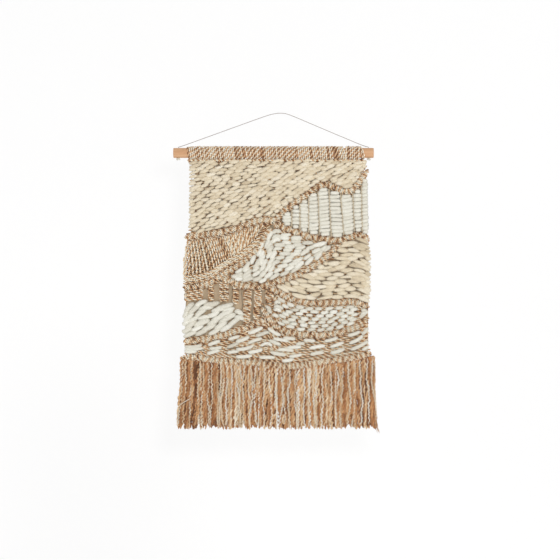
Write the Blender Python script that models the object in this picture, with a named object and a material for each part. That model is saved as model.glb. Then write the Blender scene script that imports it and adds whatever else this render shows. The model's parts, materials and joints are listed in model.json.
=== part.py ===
"""Woven tapestry wall hanging on a wooden dowel, hung by a cord.

Metres, +Z up, +X to the right, the front faces -Y and the wall is on the +Y side.
The origin is the hook point, under the apex of the hanging cord.
"""
import math

import bmesh
import bpy
from mathutils import Matrix, Vector

# ---------------------------------------------------------------- driving dimensions
CLEARANCE = 0.0003           # gap between pieces that touch
SEAM_GAP = 0.0005            # gap between neighbouring woven areas
CURVED_SEAM_GAP = 0.0012     # the same where columns end on a rounded outline

DOWEL_DIAMETER = 0.0254
DOWEL_BARE_LEFT = 0.033      # dowel that shows past the header, left and right
DOWEL_BARE_RIGHT = 0.022
DOWEL_EDGE_BREAK = 0.0008
DOWEL_BELOW_HOOK = 0.1003    # dowel axis below the hook point
DOWEL_LEFT_OF_HOOK = 0.0165  # dowel middle, left of the hook point
DOWEL_SIDES = 32

CORD_DIAMETER = 0.0016
CORD_POINT_SPACING = 0.0085  # longest step along the cord's straight legs
CORD_HOLE_DIAMETER = 0.0026
CORD_HOLE_INSET = 0.012      # hole centre from each end of the dowel
KNOT_WIDTH = 0.0085
KNOT_HEIGHT = 0.0062
STEM_BELOW_TOP = 0.0004      # cord inside the hole, so that the loop's foot can tip above it

HEADER_WRAP = 0.0051         # thickness of the yarn wrapped over the warp loops
HEADER_END_WRAP = 0.0018     # the same where the end turns thin out
HEADER_TAPER = 0.012
HEADER_NARROWER = 0.017      # header, shorter than the panel is wide

PANEL_WIDTH = 0.470
PANEL_RIGHT_OF_HEADER = 0.002   # panel middle, right of the header's middle
WEAVE_DROP = 0.508           # header to the base ridge
WEAVE_BACK = 0.0062
FIELD_FRONT = 0.0052         # how far each kind of weave stands forward of the dowel's plane
ROVING_FRONT = 0.0085
RIDGE_FRONT = 0.0080
COLUMN_FRONT = 0.0075
RIDGE_WIDTH = 0.0150
RIDGE_TOP_SHARE = 0.003      # where the skyline ridge stops under the header
BASE_RIDGE_WIDTH = 0.0160
SMALLEST_TIP = 0.0025        # a woven area stops where it gets lower than this

WARP_COUNT = 18
WARP_WIDTH = 0.0030
WARP_THICKNESS = 0.0020
WARP_EDGE_SHARE = 0.045      # outermost warps, share of the panel in from its sides
WARP_HEADING_HEIGHT = 0.004
WARP_HEADING_BELOW_TOP = 0.002
BACKING_THICKNESS = 0.0012
BACKING_EDGE_SHARE = 0.013   # backing cloth in from the sides and from the header
BACKING_TOP_SHARE = 0.006

FRINGE_COUNT = 10
FRINGE_THICKNESS = 0.0090
FRINGE_TIP_THICKNESS = 0.0070
FRINGE_TO_DOWEL = 0.704      # tips below the dowel axis
FRINGE_FLARE = 0.010         # how far the outer tips stand out sideways
FRINGE_GAP = 0.0010

LINE_SAMPLES = 44
LINE_END_MARGIN = 0.006       # share across by which a line keeps its neighbours off past its end

# ---------------------------------------------------------------- places worked out from them
dowel_radius = DOWEL_DIAMETER / 2
header_radius = dowel_radius + HEADER_WRAP
header_end_radius = dowel_radius + HEADER_END_WRAP
header_length = PANEL_WIDTH - HEADER_NARROWER
dowel_length = DOWEL_BARE_LEFT + header_length + DOWEL_BARE_RIGHT
dowel_middle = -DOWEL_LEFT_OF_HOOK
dowel_height = -DOWEL_BELOW_HOOK
header_left = dowel_middle - dowel_length / 2 + DOWEL_BARE_LEFT
header_middle = header_left + header_length / 2
panel_left = header_middle + PANEL_RIGHT_OF_HEADER - PANEL_WIDTH / 2
weave_top = dowel_height - header_radius - CLEARANCE
warp_front = WEAVE_BACK + CLEARANCE
warp_back = warp_front + WARP_THICKNESS
backing_front = warp_back + CLEARANCE
backing_back = backing_front + BACKING_THICKNESS
hole_offset = dowel_length / 2 - CORD_HOLE_INSET
cord_exit_height = dowel_height + dowel_radius + CLEARANCE

# The hanging cord's route, as (x, z) points in its own plane.
CORD_ROUTE = [
    (-0.2585, -0.0872), (-0.2585, -0.0865), (-0.2570, -0.0855), (-0.2530, -0.0842),
    (-0.2400, -0.0799), (-0.2200, -0.0727), (-0.1900, -0.0619), (-0.1600, -0.0511),
    (-0.1300, -0.0402), (-0.1000, -0.0294), (-0.0700, -0.0186), (-0.0450, -0.0096),
    (-0.0280, -0.0040), (-0.0150, -0.0009), (-0.0050, 0.0006), (0.0040, 0.0007),
    (0.0140, -0.0005), (0.0270, -0.0044), (0.0450, -0.0119), (0.0700, -0.0225),
    (0.1000, -0.0352), (0.1300, -0.0479), (0.1600, -0.0605), (0.1850, -0.0711),
    (0.2050, -0.0793), (0.2160, -0.0835), (0.2240, -0.0856), (0.2255, -0.0865),
    (0.2255, -0.0872),
]

# Woven lines, as (across, down) shares of the panel, between the side edges and from the
# header to the base ridge. They are the centre lines of the raised soumak ridges.
SKYLINE = [
    (0.00, 0.385), (0.09, 0.372), (0.17, 0.365), (0.26, 0.345), (0.34, 0.316), (0.41, 0.297),
    (0.47, 0.303), (0.52, 0.262), (0.575, 0.220), (0.63, 0.188), (0.68, 0.156), (0.725, 0.132),
    (0.77, 0.122), (0.82, 0.138), (0.865, 0.158), (0.91, 0.150), (0.945, 0.120), (1.00, 0.045),
]
COLUMN_FOOT = [
    (0.470, 0.312), (0.55, 0.345), (0.60, 0.361), (0.655, 0.378), (0.715, 0.390), (0.78, 0.398),
    (0.845, 0.400), (0.89, 0.386), (0.935, 0.373), (0.97, 0.382), (1.00, 0.402),
]
LEFT_SLOPE = [
    (0.00, 0.637), (0.07, 0.632), (0.13, 0.617), (0.175, 0.598), (0.21, 0.572), (0.25, 0.548),
    (0.30, 0.522), (0.34, 0.492), (0.385, 0.452), (0.415, 0.408), (0.445, 0.362), (0.48, 0.312),
]
TRIANGLE_FOOT = [
    (0.19, 0.578), (0.25, 0.602), (0.30, 0.623), (0.37, 0.633), (0.43, 0.629), (0.50, 0.609),
    (0.56, 0.591), (0.615, 0.572), (0.67, 0.543), (0.725, 0.511), (0.77, 0.477), (0.805, 0.444),
    (0.84, 0.405),
]
OVAL_TOP = [
    (0.44, 0.625), (0.47, 0.636), (0.51, 0.660), (0.56, 0.688), (0.615, 0.703), (0.68, 0.713),
    (0.76, 0.716), (0.845, 0.711), (0.91, 0.708), (0.96, 0.718), (1.00, 0.735),
]
OVAL_FOOT = [
    (0.425, 0.738), (0.45, 0.770), (0.48, 0.807), (0.52, 0.842), (0.575, 0.861), (0.655, 0.873),
    (0.735, 0.875), (0.815, 0.867), (0.885, 0.851), (0.94, 0.832), (1.00, 0.785),
]
BRAID_FOOT = [
    (0.00, 0.908), (0.09, 0.900), (0.17, 0.887), (0.25, 0.868), (0.32, 0.846), (0.385, 0.822),
    (0.47, 0.786),
]
BASE_LINE = [
    (0.00, 0.984), (0.06, 0.986), (0.14, 0.998), (0.25, 1.007), (0.36, 1.011), (0.465, 1.022),
    (0.57, 1.031), (0.655, 1.022), (0.735, 1.008), (0.845, 0.996), (0.93, 0.984), (1.00, 0.962),
]
BRAID_TOP = [
    (0.00, 0.745), (0.035, 0.713), (0.10, 0.692), (0.15, 0.707), (0.20, 0.708), (0.26, 0.718),
    (0.305, 0.735), (0.330, 0.790), (0.345, 0.860),
]
COIL_FOOT = [(0.40, 0.722), (0.47, 0.716), (0.490, 0.690), (0.51, 0.640)]

# Side edges of the cloth, as (down, across) shares.
LEFT_EDGE = [
    (0.00, 0.027), (0.08, 0.034), (0.20, 0.031), (0.33, 0.022), (0.42, 0.008), (0.51, -0.003),
    (0.63, -0.006), (0.70, 0.001), (0.78, -0.010), (0.86, -0.008), (0.92, 0.004), (1.05, -0.008),
]
RIGHT_EDGE = [
    (0.00, 0.990), (0.10, 0.995), (0.20, 0.997), (0.35, 1.000), (0.43, 1.005), (0.51, 1.011),
    (0.60, 1.006), (0.65, 1.010), (0.72, 1.001), (0.83, 0.995), (0.88, 0.990), (0.96, 1.012),
    (1.05, 1.012),
]

# Seams between the wrapped columns, as shares across, at their heads and at their feet.
WHITE_HEADS = [0.520, 0.573, 0.617, 0.665, 0.717, 0.778, 0.843, 0.912, 0.962, 0.999]
WHITE_FEET = [0.520, 0.573, 0.620, 0.668, 0.728, 0.792, 0.862, 0.920, 0.962, 0.999]
JUTE_COLUMNS = [
    (0.004, 0.105), (0.130, 0.165), (0.190, 0.245), (0.262, 0.298), (0.320, 0.366),
    (0.378, 0.420), (0.437, 0.484),
]


# ---------------------------------------------------------------- helpers: curves
def smooth_value(points, at):
    """Height of a smooth curve through (position, value) points, flat past its ends."""
    if at <= points[0][0]:
        return points[0][1]
    if at >= points[-1][0]:
        return points[-1][1]
    index = next(i for i in range(len(points) - 1) if at <= points[i + 1][0])
    before, start = points[max(index - 1, 0)], points[index]
    end, after = points[index + 1], points[min(index + 2, len(points) - 1)]
    span = end[0] - start[0]
    slope_in = (end[1] - before[1]) / (end[0] - before[0])
    slope_out = (after[1] - start[1]) / (after[0] - start[0])
    share = (at - start[0]) / span
    square, cube = share * share, share * share * share
    return (start[1] * (2 * cube - 3 * square + 1) + slope_in * span * (cube - 2 * square + share)
            + end[1] * (3 * square - 2 * cube) + slope_out * span * (cube - square))


def smooth_route(points, spacing):
    """Points along a smooth curve through an (x, z) route, no more than spacing apart."""
    route = []
    last = len(points) - 1
    for index in range(last):
        before, start = Vector(points[max(index - 1, 0)]), Vector(points[index])
        end, after = Vector(points[index + 1]), Vector(points[min(index + 2, last)])
        steps = max(1, math.ceil((end - start).length / spacing))
        for step in range(steps):
            share = step / steps
            route.append(0.5 * (2 * start + (end - before) * share
                                + (2 * before - 5 * start + 4 * end - after) * share ** 2
                                + (3 * start - before - 3 * end + after) * share ** 3))
    route.append(Vector(points[-1]))
    return route


def line_slope(points, across):
    step = 0.004
    rise = smooth_value(points, across + step) - smooth_value(points, across - step)
    return rise * WEAVE_DROP / (2 * step * PANEL_WIDTH)


def line_edge(points, offset):
    """The line that runs alongside a woven line, offset metres lower, square to it."""
    def value(across):
        slope = line_slope(points, across)
        return smooth_value(points, across) + offset * math.hypot(1, slope) / WEAVE_DROP
    return value


def beside(points, across):
    return points[0][0] - LINE_END_MARGIN <= across <= points[-1][0] + LINE_END_MARGIN


def under(points, width=RIDGE_WIDTH):
    """Upper limit of a piece that lies under the ridge on this line."""
    edge = line_edge(points, width / 2 + SEAM_GAP)
    return lambda across: edge(across) if beside(points, across) else -math.inf


def over(points, width=RIDGE_WIDTH):
    """Lower limit of a piece that lies over the ridge on this line."""
    edge = line_edge(points, -width / 2 - SEAM_GAP)
    return lambda across: edge(across) if beside(points, across) else math.inf


def panel_x(across, down):
    left, right = smooth_value(LEFT_EDGE, down), smooth_value(RIGHT_EDGE, down)
    return panel_left + PANEL_WIDTH * (left + across * (right - left))


def panel_point(across, down):
    return Vector((panel_x(across, down), 0, weave_top - down * WEAVE_DROP))


# ---------------------------------------------------------------- helpers: objects
def clear_scene():
    for item in list(bpy.data.objects):
        bpy.data.objects.remove(item, do_unlink=True)


def make_material(name, colour, roughness):
    material = bpy.data.materials.new(name)
    material.use_nodes = True
    shader = material.node_tree.nodes["Principled BSDF"]
    shader.inputs["Base Color"].default_value = (*colour, 1)
    shader.inputs["Roughness"].default_value = roughness
    shader.inputs["Metallic"].default_value = 0
    return material


def add_joint(name, place, parent=None):
    joint = bpy.data.objects.new(name, None)
    bpy.context.collection.objects.link(joint)
    joint.empty_display_size = 0.02
    joint.location = place - (parent.matrix_world.translation if parent else Vector())
    joint.parent = parent
    bpy.context.view_layer.update()
    return joint


def place_mesh(name, builder, material, joint):
    """An object whose origin is the joint it moves about."""
    bmesh.ops.translate(builder, verts=builder.verts, vec=-joint.matrix_world.translation)
    bmesh.ops.recalc_face_normals(builder, faces=builder.faces)
    mesh = bpy.data.meshes.new(name)
    builder.to_mesh(mesh)
    builder.free()
    mesh.materials.append(material)
    item = bpy.data.objects.new(name, mesh)
    bpy.context.collection.objects.link(item)
    item.parent = joint
    return item


def slab(outline, front, back):
    """A closed plate: an outline in the XZ plane, extruded from its front to its back."""
    builder = bmesh.new()
    corners = [builder.verts.new((point.x, -front, point.z)) for point in outline]
    face = builder.faces.new(corners)
    swept = bmesh.ops.extrude_face_region(builder, geom=[face])
    moved = [part for part in swept["geom"] if isinstance(part, bmesh.types.BMVert)]
    bmesh.ops.translate(builder, verts=moved, vec=(0, front + back, 0))
    return builder


# ---------------------------------------------------------------- helpers: woven areas
def strip_outline(tops, bottoms, start, end):
    """Outline of the area between its upper and lower limits, trimmed where it is too low."""
    def limits(across):
        return max(top(across) for top in tops), min(bottom(across) for bottom in bottoms)

    def tall_enough(across):
        high, low = limits(across)
        return (low - high) * WEAVE_DROP >= SMALLEST_TIP

    step = (end - start) / 400
    inside = [start + step * k for k in range(401) if tall_enough(start + step * k)]
    first, last = inside[0], inside[-1]
    stations = stations_between(first, last)
    upper = [panel_point(across, limits(across)[0]) for across in stations]
    lower = [panel_point(across, limits(across)[1]) for across in stations]
    left = side_points(first, *limits(first))
    right = side_points(last, *limits(last))
    return upper + right + lower[::-1] + left[::-1]


def shared_stations():
    """Places across the panel where every outline has a corner, so that seams stay parallel."""
    stations = [k / LINE_SAMPLES for k in range(LINE_SAMPLES + 1)]
    for line in (SKYLINE, COLUMN_FOOT, LEFT_SLOPE, TRIANGLE_FOOT, OVAL_TOP, OVAL_FOOT, BRAID_FOOT):
        for end in (line[0][0] - LINE_END_MARGIN, line[-1][0] + LINE_END_MARGIN):
            stations += [end - 0.0008, end + 0.0008]
    return sorted(stations)


def stations_between(first, last):
    least = 0.003
    return [first, *[at for at in shared_stations() if first + least < at < last - least], last]


def side_points(across, high, low):
    """Points down the side of an area, between its corners, so that it follows the edge."""
    count = int((low - high) * WEAVE_DROP / 0.035)
    return [panel_point(across, high + (low - high) * (k + 1) / (count + 1)) for k in range(count)]


def add_strip(name, tops, bottoms, across, front, material, joint):
    outline = strip_outline(tops, bottoms, *across)
    return place_mesh(name, slab(outline, front, WEAVE_BACK), material, joint)


def add_ridge(name, points, tops, material, joint, bottoms=(), width=RIDGE_WIDTH):
    upper = [line_edge(points, -width / 2), *tops]
    lower = [line_edge(points, width / 2), *bottoms]
    span = (points[0][0], points[-1][0])
    return add_strip(name, upper, lower, span, RIDGE_FRONT, material, joint)


def add_leaning_column(name, heads, feet, material, joint):
    """A wrapped warp whose head and foot lie at different places across the panel."""
    inset = SEAM_GAP / PANEL_WIDTH
    head_at = stations_between(heads[0] + inset, heads[1] - inset)
    foot_at = stations_between(feet[0] + inset, feet[1] - inset)
    top, bottom = under(SKYLINE), over(COLUMN_FOOT)
    outline = [panel_point(across, top(across)) for across in head_at]
    outline += [panel_point(across, bottom(across)) for across in foot_at[::-1]]
    return place_mesh(name, slab(outline, COLUMN_FRONT, WEAVE_BACK), material, joint)


# ---------------------------------------------------------------- dowel, cord and knots
def turned_about_x(profile, sides, centre):
    """A closed body: a ring of (x, radius) points turned about the line through centre.

    It is set half a side round, so that one flat side faces the wall.
    """
    builder = bmesh.new()
    corners = [builder.verts.new((x, 0, radius)) for x, radius in profile]
    edges = [builder.edges.new(pair) for pair in zip(corners, corners[1:] + corners[:1])]
    bmesh.ops.spin(builder, geom=corners + edges, cent=(0, 0, 0), axis=(1, 0, 0),
                   angle=2 * math.pi, steps=sides, use_merge=True)
    bmesh.ops.remove_doubles(builder, verts=builder.verts, dist=0.00001)
    bmesh.ops.rotate(builder, verts=builder.verts, cent=(0, 0, 0),
                     matrix=Matrix.Rotation(math.pi / sides, 3, "X"))
    bmesh.ops.translate(builder, verts=builder.verts, vec=centre)
    return builder


def add_cord_hole(dowel, offset):
    builder = bmesh.new()
    bmesh.ops.create_cone(builder, cap_ends=True, segments=12, radius1=CORD_HOLE_DIAMETER / 2,
                          radius2=CORD_HOLE_DIAMETER / 2, depth=DOWEL_DIAMETER * 1.5)
    mesh = bpy.data.meshes.new("cord_hole_cutter")
    builder.to_mesh(mesh)
    builder.free()
    cutter = bpy.data.objects.new("cord_hole_cutter", mesh)
    bpy.context.collection.objects.link(cutter)
    cutter.location = (dowel_middle + offset, 0, dowel_height)
    cutter.hide_render = True
    cutter.display_type = "WIRE"
    cut = dowel.modifiers.new("cord hole", "BOOLEAN")
    cut.operation = "DIFFERENCE"
    cut.solver = "EXACT"
    cut.object = cutter


def add_dowel(material, joint):
    builder = bmesh.new()
    bmesh.ops.create_cone(builder, cap_ends=True, segments=DOWEL_SIDES, radius1=dowel_radius,
                          radius2=dowel_radius, depth=dowel_length)
    rims = [edge for edge in builder.edges if abs(edge.verts[0].co.z - edge.verts[1].co.z) < 1e-6]
    bmesh.ops.bevel(builder, geom=rims, offset=DOWEL_EDGE_BREAK, affect="EDGES", segments=1,
                    profile=0.5, material=-1)
    bmesh.ops.rotate(builder, verts=builder.verts, cent=(0, 0, 0),
                     matrix=Matrix.Rotation(math.pi / 2, 3, "Y"))
    bmesh.ops.translate(builder, verts=builder.verts, vec=(dowel_middle, 0, dowel_height))
    dowel = place_mesh("dowel", builder, material, joint)
    add_cord_hole(dowel, -hole_offset)
    add_cord_hole(dowel, hole_offset)
    return dowel


def add_hanging_cord(material, joint):
    """The loop of cord from hole to hole, over the hook point."""
    curve = bpy.data.curves.new("hanging_cord", "CURVE")
    curve.dimensions = "3D"
    curve.bevel_depth = CORD_DIAMETER / 2
    curve.bevel_resolution = 2
    curve.use_fill_caps = True
    route = smooth_route(CORD_ROUTE, CORD_POINT_SPACING)
    spline = curve.splines.new("POLY")
    spline.points.add(len(route) - 1)
    for point, place in zip(spline.points, route):
        point.co = (place.x, 0, place.y, 1)
    item = bpy.data.objects.new("hanging_cord", curve)
    bpy.context.collection.objects.link(item)
    curve.materials.append(material)
    item.parent = joint
    return item


def add_knot(name, offset, material, joint):
    """The cord inside its hole and the knot under the dowel, as one turned body."""
    head = dowel_radius - STEM_BELOW_TOP
    stem, half = CORD_DIAMETER / 2, KNOT_HEIGHT / 2
    middle = -dowel_radius - CLEARANCE - half
    bulge = [(middle + half * math.sin(angle), KNOT_WIDTH / 2 * math.cos(angle))
             for angle in [math.radians(degrees) for degrees in (-70, -40, 0, 40, 65)]]
    profile = [(middle - half, 0), *bulge, (middle + half, stem), (head, stem), (head, 0)]
    builder = bmesh.new()
    corners = [builder.verts.new((radius, 0, height)) for height, radius in profile]
    edges = [builder.edges.new(pair) for pair in zip(corners, corners[1:])]
    bmesh.ops.spin(builder, geom=corners + edges, cent=(0, 0, 0), axis=(0, 0, 1),
                   angle=2 * math.pi, steps=12, use_merge=True)
    bmesh.ops.remove_doubles(builder, verts=builder.verts, dist=0.00001)
    bmesh.ops.translate(builder, verts=builder.verts,
                        vec=(dowel_middle + offset, 0, dowel_height))
    return place_mesh(name, builder, material, joint)


# ---------------------------------------------------------------- panel
def add_header(material, joint):
    bore = dowel_radius + CLEARANCE
    ring = [
        (0, bore), (header_length, bore), (header_length, header_end_radius),
        (header_length - HEADER_TAPER, header_radius), (HEADER_TAPER, header_radius),
        (0, header_end_radius),
    ]
    builder = turned_about_x(ring, DOWEL_SIDES, (header_left, 0, dowel_height))
    return place_mesh("header_wraps", builder, material, joint)


def add_fields(paint, joint):
    cream, jute, white = paint["cream_roving"], paint["jute_yarn"], paint["white_rope"]
    whole = (0.0, 1.0)
    header_edge = lambda across: 0.0
    add_strip("cream_field_upper", [header_edge], [over(SKYLINE)], whole, ROVING_FRONT,
              cream, joint)
    add_strip("jute_field_left", [under(SKYLINE)], [over(LEFT_SLOPE)], (0.0, 0.48),
              FIELD_FRONT, jute, joint)
    add_strip("white_dash_triangle", [under(LEFT_SLOPE), under(COLUMN_FOOT), under(SKYLINE)],
              [over(TRIANGLE_FOOT)], (0.19, 0.84), FIELD_FRONT, white, joint)
    add_strip("cream_field_lower", [under(COLUMN_FOOT), under(TRIANGLE_FOOT)],
              [over(OVAL_TOP)], (0.44, 1.0), ROVING_FRONT, cream, joint)
    add_strip("white_braid_oval", [lambda across: smooth_value(BRAID_TOP, across)],
              [over(BRAID_FOOT)], (0.0, 0.345), ROVING_FRONT, white, joint)
    coil_foot = lambda across: smooth_value(COIL_FOOT, across) if across < 0.51 else -math.inf
    add_strip("white_dash_oval", [under(OVAL_TOP), coil_foot], [over(OVAL_FOOT)],
              (0.43, 1.0), FIELD_FRONT, white, joint)
    add_strip("bottom_dash_band", [under(BRAID_FOOT), under(OVAL_FOOT)],
              [over(BASE_LINE, BASE_RIDGE_WIDTH)], whole, FIELD_FRONT, jute, joint)


def add_ridges(paint, joint):
    yarn = paint["ridge_yarn"]
    add_ridge("ridge_skyline", SKYLINE, [lambda across: RIDGE_TOP_SHARE], yarn, joint)
    add_ridge("ridge_column_foot", COLUMN_FOOT, [under(SKYLINE)], yarn, joint)
    add_ridge("ridge_left_slope", LEFT_SLOPE, [under(SKYLINE)], yarn, joint,
              bottoms=[over(COLUMN_FOOT)])
    add_ridge("ridge_triangle_foot", TRIANGLE_FOOT, [under(LEFT_SLOPE), under(COLUMN_FOOT)],
              yarn, joint)
    add_ridge("ridge_oval_top", OVAL_TOP, [under(TRIANGLE_FOOT)], yarn, joint)
    add_ridge("ridge_oval_foot", OVAL_FOOT, [under(OVAL_TOP)], yarn, joint)
    add_ridge("ridge_braid_foot", BRAID_FOOT, [under(OVAL_FOOT)], yarn, joint)
    add_ridge("ridge_base", BASE_LINE, [], yarn, joint, width=BASE_RIDGE_WIDTH)


def add_columns(paint, joint):
    for index in range(len(WHITE_HEADS) - 1):
        add_leaning_column(f"white_column_{index + 1}", WHITE_HEADS[index:index + 2],
                           WHITE_FEET[index:index + 2], paint["white_wrap"], joint)
    gap = CURVED_SEAM_GAP / WEAVE_DROP
    braid = lambda across: smooth_value(BRAID_TOP, across) - gap if across < 0.34 else math.inf
    coil = lambda across: smooth_value(COIL_FOOT, across) - gap if across > 0.43 else math.inf
    tops = [under(LEFT_SLOPE), under(TRIANGLE_FOOT), under(OVAL_TOP)]
    bottoms = [braid, coil, over(BRAID_FOOT), over(OVAL_FOOT)]
    for index, across in enumerate(JUTE_COLUMNS):
        add_strip(f"jute_column_{index + 1}", tops, bottoms, across, COLUMN_FRONT,
                  paint["jute_wrap"], joint)


def add_warps(material, joint):
    """The warp cords behind the weave, held side by side by a heading row at their tops."""
    top = weave_top - WARP_HEADING_BELOW_TOP
    heading_foot = top - WARP_HEADING_HEIGHT
    outline = []
    for index in range(WARP_COUNT):
        across = WARP_EDGE_SHARE + (1 - 2 * WARP_EDGE_SHARE) * index / (WARP_COUNT - 1)
        foot = weave_top - WEAVE_DROP * smooth_value(BASE_LINE, across)
        left = panel_x(across, 0.5) - WARP_WIDTH / 2
        right = left + WARP_WIDTH
        outline += [(left, heading_foot), (left, foot), (right, foot), (right, heading_foot)]
    outline[0] = (outline[0][0], top)
    outline[-1] = (outline[-1][0], top)
    builder = slab([Vector((x, 0, z)) for x, z in outline], -warp_front, warp_back)
    return place_mesh("warp_cords", builder, material, joint)


def add_backing(material, joint):
    """The plain cloth behind the weave, a little narrower, its foot behind the base ridge."""
    left, right = BACKING_EDGE_SHARE, 1 - BACKING_EDGE_SHARE
    top, stations = BACKING_TOP_SHARE, stations_between(left, right)
    foot = {across: smooth_value(BASE_LINE, across) for across in stations}
    outline = [panel_point(across, top) for across in stations]
    outline += side_points(right, top, foot[right])
    outline += [panel_point(across, foot[across]) for across in reversed(stations)]
    outline += reversed(side_points(left, top, foot[left]))
    return place_mesh("backing_cloth", slab(outline, -backing_front, backing_back), material, joint)


# ---------------------------------------------------------------- fringe
def fringe_span(index):
    """Left and right of a fringe bundle, as shares across the fringe's root."""
    margin = FRINGE_GAP / 2 / (panel_x(1.0, 1.0) - panel_x(0.0, 1.0))
    return index / FRINGE_COUNT + margin, (index + 1) / FRINGE_COUNT - margin


def fringe_hinge(index):
    """Height of a bundle's hinge line: its round top just clears the base ridge."""
    left, right = fringe_span(index)
    foot = line_edge(BASE_LINE, BASE_RIDGE_WIDTH / 2)
    lowest = max(foot(left + (right - left) * k / 8) for k in range(9))
    return weave_top - lowest * WEAVE_DROP - SEAM_GAP - FRINGE_THICKNESS / 2


def add_fringe_bundle(index, material, panel_joint):
    hinge = fringe_hinge(index)
    joint = add_joint(f"fringe_{index + 1:02d}_swing", Vector((0, 0, hinge)), panel_joint)
    tip = dowel_height - FRINGE_TO_DOWEL
    half, tip_half = FRINGE_THICKNESS / 2, FRINGE_TIP_THICKNESS / 2
    round_top = [(half * math.cos(angle), hinge + half * math.sin(angle))
                 for angle in [math.pi * k / 8 for k in range(9)]]
    profile = [*round_top, (-tip_half, tip), (tip_half, tip)]
    left, right = [panel_x(share, 1.0) for share in fringe_span(index)]
    left_flare, right_flare = [FRINGE_FLARE * (2 * share - 1) for share in fringe_span(index)]
    builder = bmesh.new()
    face = builder.faces.new([builder.verts.new((left, y, z)) for y, z in profile])
    swept = bmesh.ops.extrude_face_region(builder, geom=[face])
    moved = [part for part in swept["geom"] if isinstance(part, bmesh.types.BMVert)]
    bmesh.ops.translate(builder, verts=moved, vec=(right - left, 0, 0))
    for corner in builder.verts:
        if corner.co.z < hinge - half:
            corner.co.x += left_flare if corner.co.x < (left + right) / 2 else right_flare
    return place_mesh(f"fringe_bundle_{index + 1:02d}", builder, material, joint)


# ---------------------------------------------------------------- assembly
def build():
    clear_scene()
    paint = {
        "pale_wood": make_material("pale_wood", (0.72, 0.45, 0.24), 0.55),
        "hanging_string": make_material("hanging_string", (0.72, 0.69, 0.64), 0.85),
        "header_yarn": make_material("header_yarn", (0.58, 0.42, 0.28), 0.95),
        "cream_roving": make_material("cream_roving", (0.78, 0.69, 0.52), 0.95),
        "white_rope": make_material("white_rope", (0.84, 0.80, 0.71), 0.9),
        "white_wrap": make_material("white_wrap", (0.82, 0.78, 0.69), 0.9),
        "jute_yarn": make_material("jute_yarn", (0.60, 0.40, 0.23), 0.95),
        "jute_wrap": make_material("jute_wrap", (0.62, 0.45, 0.27), 0.95),
        "ridge_yarn": make_material("ridge_yarn", (0.64, 0.43, 0.25), 0.95),
        "warp_cotton": make_material("warp_cotton", (0.66, 0.58, 0.46), 0.9),
        "backing_linen": make_material("backing_linen", (0.34, 0.25, 0.15), 0.95),
        "fringe_yarn": make_material("fringe_yarn", (0.52, 0.33, 0.18), 0.95),
    }
    hook = add_joint("hook_point", Vector((0, 0, 0)))
    swing = add_joint("dowel_swing", Vector((0, 0, cord_exit_height)), hook)
    turn = add_joint("panel_turn", Vector((dowel_middle, 0, dowel_height)), swing)
    add_hanging_cord(paint["hanging_string"], hook)
    add_dowel(paint["pale_wood"], swing)
    add_knot("knot_left", -hole_offset, paint["hanging_string"], swing)
    add_knot("knot_right", hole_offset, paint["hanging_string"], swing)
    add_header(paint["header_yarn"], turn)
    add_fields(paint, turn)
    add_ridges(paint, turn)
    add_columns(paint, turn)
    add_warps(paint["warp_cotton"], turn)
    add_backing(paint["backing_linen"], turn)
    for index in range(FRINGE_COUNT):
        add_fringe_bundle(index, paint["fringe_yarn"], turn)


build()
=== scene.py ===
import json
import math

import bmesh
import bpy
import numpy as np
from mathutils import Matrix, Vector
from mathutils.bvhtree import BVHTree

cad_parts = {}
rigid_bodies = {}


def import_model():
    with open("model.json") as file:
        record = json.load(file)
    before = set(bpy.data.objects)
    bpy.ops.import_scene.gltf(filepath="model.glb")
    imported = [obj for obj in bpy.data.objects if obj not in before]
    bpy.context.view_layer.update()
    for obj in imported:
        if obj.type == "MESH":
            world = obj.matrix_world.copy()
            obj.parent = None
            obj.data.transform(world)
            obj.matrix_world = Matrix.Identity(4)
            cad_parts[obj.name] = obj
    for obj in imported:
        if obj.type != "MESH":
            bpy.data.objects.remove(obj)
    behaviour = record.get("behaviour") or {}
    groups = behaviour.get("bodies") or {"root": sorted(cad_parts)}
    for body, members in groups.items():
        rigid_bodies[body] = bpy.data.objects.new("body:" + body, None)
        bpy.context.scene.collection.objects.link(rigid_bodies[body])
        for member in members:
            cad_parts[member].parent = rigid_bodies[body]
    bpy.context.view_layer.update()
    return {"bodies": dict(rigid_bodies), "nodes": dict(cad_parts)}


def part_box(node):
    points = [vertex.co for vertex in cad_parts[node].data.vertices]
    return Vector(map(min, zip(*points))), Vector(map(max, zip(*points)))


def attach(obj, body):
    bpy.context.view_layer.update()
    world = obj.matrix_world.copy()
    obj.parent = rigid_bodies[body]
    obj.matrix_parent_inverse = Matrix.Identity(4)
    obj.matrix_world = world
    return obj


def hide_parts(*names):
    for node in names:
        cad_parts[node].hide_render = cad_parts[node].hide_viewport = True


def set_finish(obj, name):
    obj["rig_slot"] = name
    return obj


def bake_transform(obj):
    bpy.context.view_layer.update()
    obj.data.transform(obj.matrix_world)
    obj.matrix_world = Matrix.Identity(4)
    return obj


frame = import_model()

rng = np.random.default_rng(7)
fringeBodies = sorted(name for name in frame["bodies"] if name.startswith("fringe_"))


def addObject(name, data):
    made = bpy.data.objects.new(name, data)
    bpy.context.collection.objects.link(made)
    return made


# a socket that can be used in sums
class Value:
    def __init__(self, surface, socket):
        self.surface, self.socket = surface, socket

    def maths(self, operation, first, second):
        return self.surface.maths(operation, first, second)

    def __add__(self, other):
        return self.maths("ADD", self, other)

    def __radd__(self, other):
        return self.maths("ADD", other, self)

    def __sub__(self, other):
        return self.maths("SUBTRACT", self, other)

    def __rsub__(self, other):
        return self.maths("SUBTRACT", other, self)

    def __mul__(self, other):
        return self.maths("MULTIPLY", self, other)

    def __rmul__(self, other):
        return self.maths("MULTIPLY", other, self)

    def __pow__(self, other):
        return self.maths("POWER", self, other)


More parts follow.
